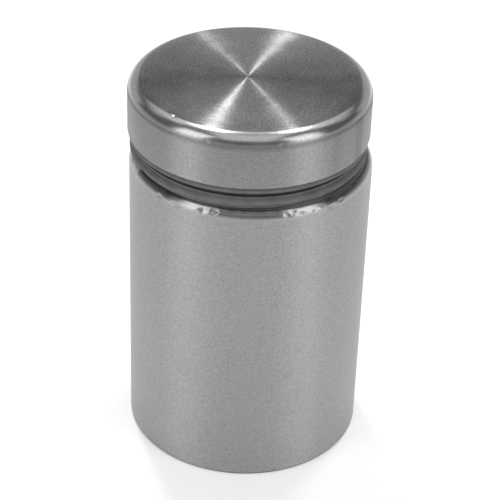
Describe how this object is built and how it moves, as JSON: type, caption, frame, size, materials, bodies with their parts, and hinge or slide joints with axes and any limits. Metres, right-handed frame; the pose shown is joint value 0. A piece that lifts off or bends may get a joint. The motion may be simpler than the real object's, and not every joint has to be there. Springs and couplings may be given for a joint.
{
  "type": "glass panel standoff",
  "caption": "Turned steel standoff that holds a glass panel off a wall: a barrel that screws to the wall and a screw-down cap that grips the panel between two rubber gaskets.",
  "frame": {"origin": "centre of the barrel's base, the face that goes against the wall and that the closed standoff stands on", "axes": "+Z runs along the barrel's axis from the wall towards the cap; the stud, cap and gaskets share an axis 0.45 mm from the barrel's, towards -X"},
  "size_m": [0.0382, 0.038, 0.0627],
  "materials": {
    "barrel_steel": "stainless steel, finely brushed round the barrel",
    "cap_steel": "stainless steel, face turned in fine rings, side brushed round the cap",
    "stud_steel": "plain rolled thread",
    "gasket_rubber": "matt grey rubber with a cut edge"
  },
  "bodies": {
    "barrel": {"barrel": "barrel_steel", "lower_gasket": "gasket_rubber"},
    "upper_gasket": {"upper_gasket": "gasket_rubber"},
    "cap": {"cap": "cap_steel", "cap_stud": "stud_steel"}
  },
  "joints": [
    {"name": "cap_lift", "type": "slide", "parent": "barrel", "child": "upper_gasket", "axis": [0, 0, 1], "range_m": [0, 0.0195]},
    {"name": "cap_turn", "type": "hinge", "parent": "upper_gasket", "child": "cap", "pos_m": [-0.00045, 0, 0.054], "axis": [0, 0, 1], "range_deg": [0, 4680]}
  ],
  "couplings": [
    {"joint": "cap_lift", "follows": "cap_turn", "m_per_rad": 0.00023873}
  ]
}
